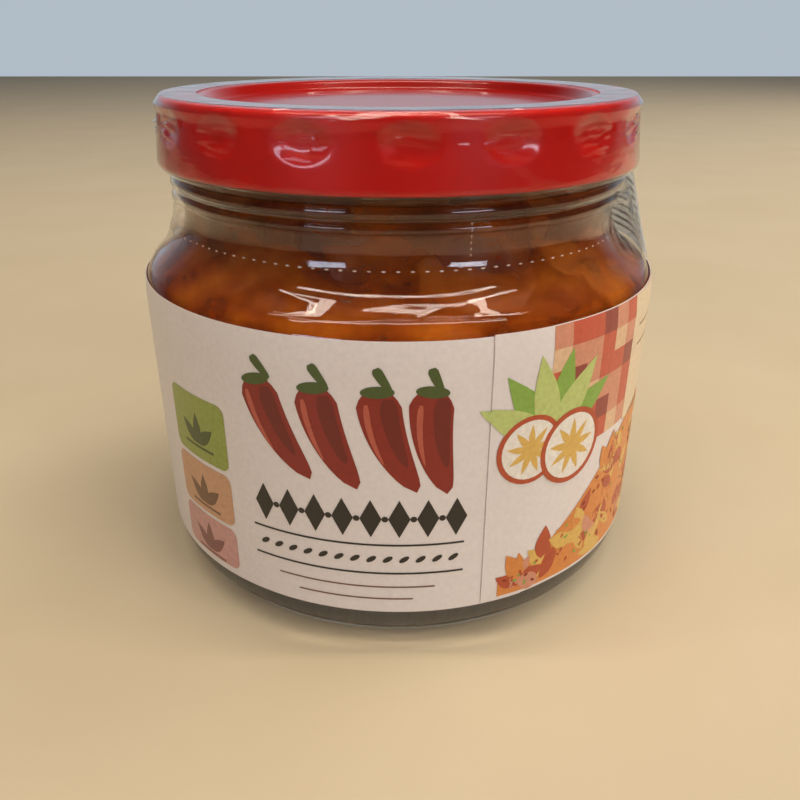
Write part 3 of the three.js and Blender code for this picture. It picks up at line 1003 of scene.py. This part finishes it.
def cut_print(colour, layer, outline):
    """A flat shape of ink, cut at the columns and rows of the label so that both bend alike."""
    bm = bmesh.new()
    ink_layer = bm.verts.layers.float_color.new("ink")
    verts = [bm.verts.new((p.x, p.y, layer)) for p in outline]
    for vert in verts:
        vert[ink_layer] = colour
    bmesh.ops.triangulate(bm, faces=[bm.faces.new(verts)])
    columns = between(min(p.x for p in outline), max(p.x for p in outline), LABEL_EDGE, LABEL_COLUMN)
    rows = between(min(p.y for p in outline), max(p.y for p in outline), LABEL_BOTTOM_Z,
                   (LABEL_TOP_Z - LABEL_BOTTOM_Z) / LABEL_ROWS)
    for place, normal in [((u, 0, 0), (1, 0, 0)) for u in columns] + [((0, v, 0), (0, 1, 0)) for v in rows]:
        geometry = bm.verts[:] + bm.edges[:] + bm.faces[:]
        bmesh.ops.bisect_plane(bm, geom=geometry, plane_co=place, plane_no=normal)
    return bm


def make_print():
    prints = []
    for motif in (print_badges, print_middle, print_checks, print_radishes, print_food, print_back):
        motif(prints)
    bm = bmesh.new()
    for ink, layer, outline in prints:
        join_into(bm, cut_print(linear(INKS[ink]), layer, outline))
    for vert in bm.verts:
        u, v, layer = vert.co
        vert.co = on_label(u, v, label_radius(u) + INK_LIFT + layer * INK_LAYER)
    for face in bm.faces:
        face.normal_update()
        if face.normal.dot(face.calc_center_median()) < 0:
            face.normal_flip()
    bmesh.ops.solidify(bm, geom=bm.faces, thickness=INK_LAYER * 0.8)
    finish_piece("label_print", bm, "label_paper", "label", printing_ink())


# Paper seal

def on_seal(azimuth, part, lift):
    radius, z = (mix(low, high, part) for low, high in zip(SEAL_BOTTOM, SEAL_TOP))
    return polar(azimuth, radius + lift, z)


def seal_buckle(azimuth, part):
    return 0.12 * noise.noise(Vector((azimuth / 12, part * 2, 4.4)))


def make_seal():
    bm = bmesh.new()
    for vert in bmesh.ops.create_grid(bm, x_segments=40, y_segments=12, size=0.5)["verts"]:
        azimuth = mix(SEAL_FROM, SEAL_TO, vert.co.x + 0.5)
        part = vert.co.y + 0.5
        vert.co = on_seal(azimuth, part, seal_buckle(azimuth, part))
    bmesh.ops.recalc_face_normals(bm, faces=bm.faces)
    bmesh.ops.solidify(bm, geom=bm.faces, thickness=SEAL_SHEET)
    finish_piece("seal_sheet", bm, "seal_paper", "paper_seal", sticker_paper())


def make_seal_bars():
    """Soft grey ruled bars across the seal, on its outer face."""
    bm = bmesh.new()
    for bar in range(SEAL_BARS):
        start = SEAL_FROM + SEAL_MARGIN
        stop = SEAL_TO - SEAL_MARGIN - 6 * (bar % 3)
        low = 0.1 + 0.105 * bar
        for vert in bmesh.ops.create_grid(bm, x_segments=24, y_segments=1, size=0.5)["verts"]:
            azimuth = mix(start, stop, vert.co.x + 0.5)
            part = low + 0.035 * (vert.co.y + 0.5)
            vert.co = on_seal(azimuth, part, seal_buckle(azimuth, part) + SEAL_BAR_LIFT)
    bmesh.ops.recalc_face_normals(bm, faces=bm.faces)
    bmesh.ops.solidify(bm, geom=bm.faces, thickness=SEAL_BAR_SHEET)
    finish_piece("seal_bars", bm, "seal_paper", "paper_seal", grey_print())


# Table, light and camera

def make_floor():
    bm = bmesh.new()
    bmesh.ops.create_grid(bm, x_segments=2, y_segments=2, size=TABLE_HALF * MM)
    mesh = bpy.data.meshes.new("table")
    bm.to_mesh(mesh)
    bm.free()
    mesh.materials.append(pale_laminate())
    table = bpy.data.objects.new("table", mesh)
    bpy.context.scene.collection.objects.link(table)


def add_softbox(name, place, size, watts, colour, mirrored=True):
    """A lamp that faces the jar with its long side level. Unmirrored, it leaves no highlight."""
    light = bpy.data.lights.new(name, "AREA")
    light.shape = "RECTANGLE"
    light.size, light.size_y = size
    light.energy = watts
    light.color = linear(colour)[:3]
    lamp = bpy.data.objects.new(name, light)
    away = (Vector(place) - LAMP_AIM).normalized()
    level = Vector((0, 0, 1)).cross(away)
    level = level.normalized() if level.length > 0.1 else Vector((1, 0, 0))
    turn = Matrix((level, away.cross(level), away)).transposed().to_4x4()
    lamp.matrix_world = Matrix.Translation(place) @ turn
    lamp.visible_glossy = mirrored
    lamp.visible_transmission = mirrored
    bpy.context.scene.collection.objects.link(lamp)


def light_studio():
    """A pale wall behind, a dim room in front and above, strip lights overhead and two far windows."""
    world = bpy.data.worlds.new("studio")
    world.use_nodes = True
    tree = world.node_tree
    facing = add_node(tree, "ShaderNodeTexCoord").outputs["Generated"]
    towards = add_node(tree, "ShaderNodeVectorMath", {0: facing, 1: (0, 1, -0.5)}, operation="DOT_PRODUCT")
    strength = add_node(tree, "ShaderNodeMapRange", {
        "Value": towards.outputs["Value"], "From Min": 0.4, "From Max": 0.85,
        "To Min": 0.06, "To Max": 0.75})
    back = tree.nodes["Background"]
    back.inputs["Color"].default_value = linear("#c9d6e2")
    tree.links.new(strength.outputs["Result"], back.inputs["Strength"])
    bpy.context.scene.world = world
    add_softbox("ceiling", (0.6, 0.2, 1.1), (0.9, 0.6), 3.4, "#fffaf6", mirrored=False)
    add_softbox("front_fill", (1.0, -0.8, 0.7), (0.6, 0.6), 5.4, "#fffcfa", mirrored=False)
    add_softbox("side_fill", (1.0, 0.45, 0.35), (0.5, 0.4), 4.0, "#fffcfa", mirrored=False)
    add_softbox("strip_over", (0, 0.0, 1.2), (1.6, 0.045), 7.6, "#fff0de")
    add_softbox("strip_front", (0, -0.33, 1.2), (1.6, 0.06), 6.8, "#fff0de")
    add_softbox("window_left", (-0.85, -1.2, 0.5), (0.5, 0.26), 3.2, "#dfeaff")
    add_softbox("window_right", (0.85, -1.2, 0.46), (0.5, 0.2), 3.0, "#e6eeff")


def place_camera():
    data = bpy.data.cameras.new("camera")
    data.sensor_width = CAMERA_SENSOR
    data.lens = CAMERA_LENS
    data.shift_x = CAMERA_SHIFT
    data.clip_start = 0.005
    camera = bpy.data.objects.new("camera", data)
    camera.location = CAMERA_PLACE
    camera.rotation_euler = (math.radians(90 - CAMERA_DOWN), 0, 0)
    bpy.context.scene.collection.objects.link(camera)
    bpy.context.scene.camera = camera


make_jar()
make_slices()
make_core()
make_flakes()
make_brine()
make_lid()
make_film()
make_perforations()
make_label()
make_print()
make_seal()
make_seal_bars()
make_floor()
light_studio()
place_camera()
bpy.context.scene.view_settings.view_transform = "Standard"
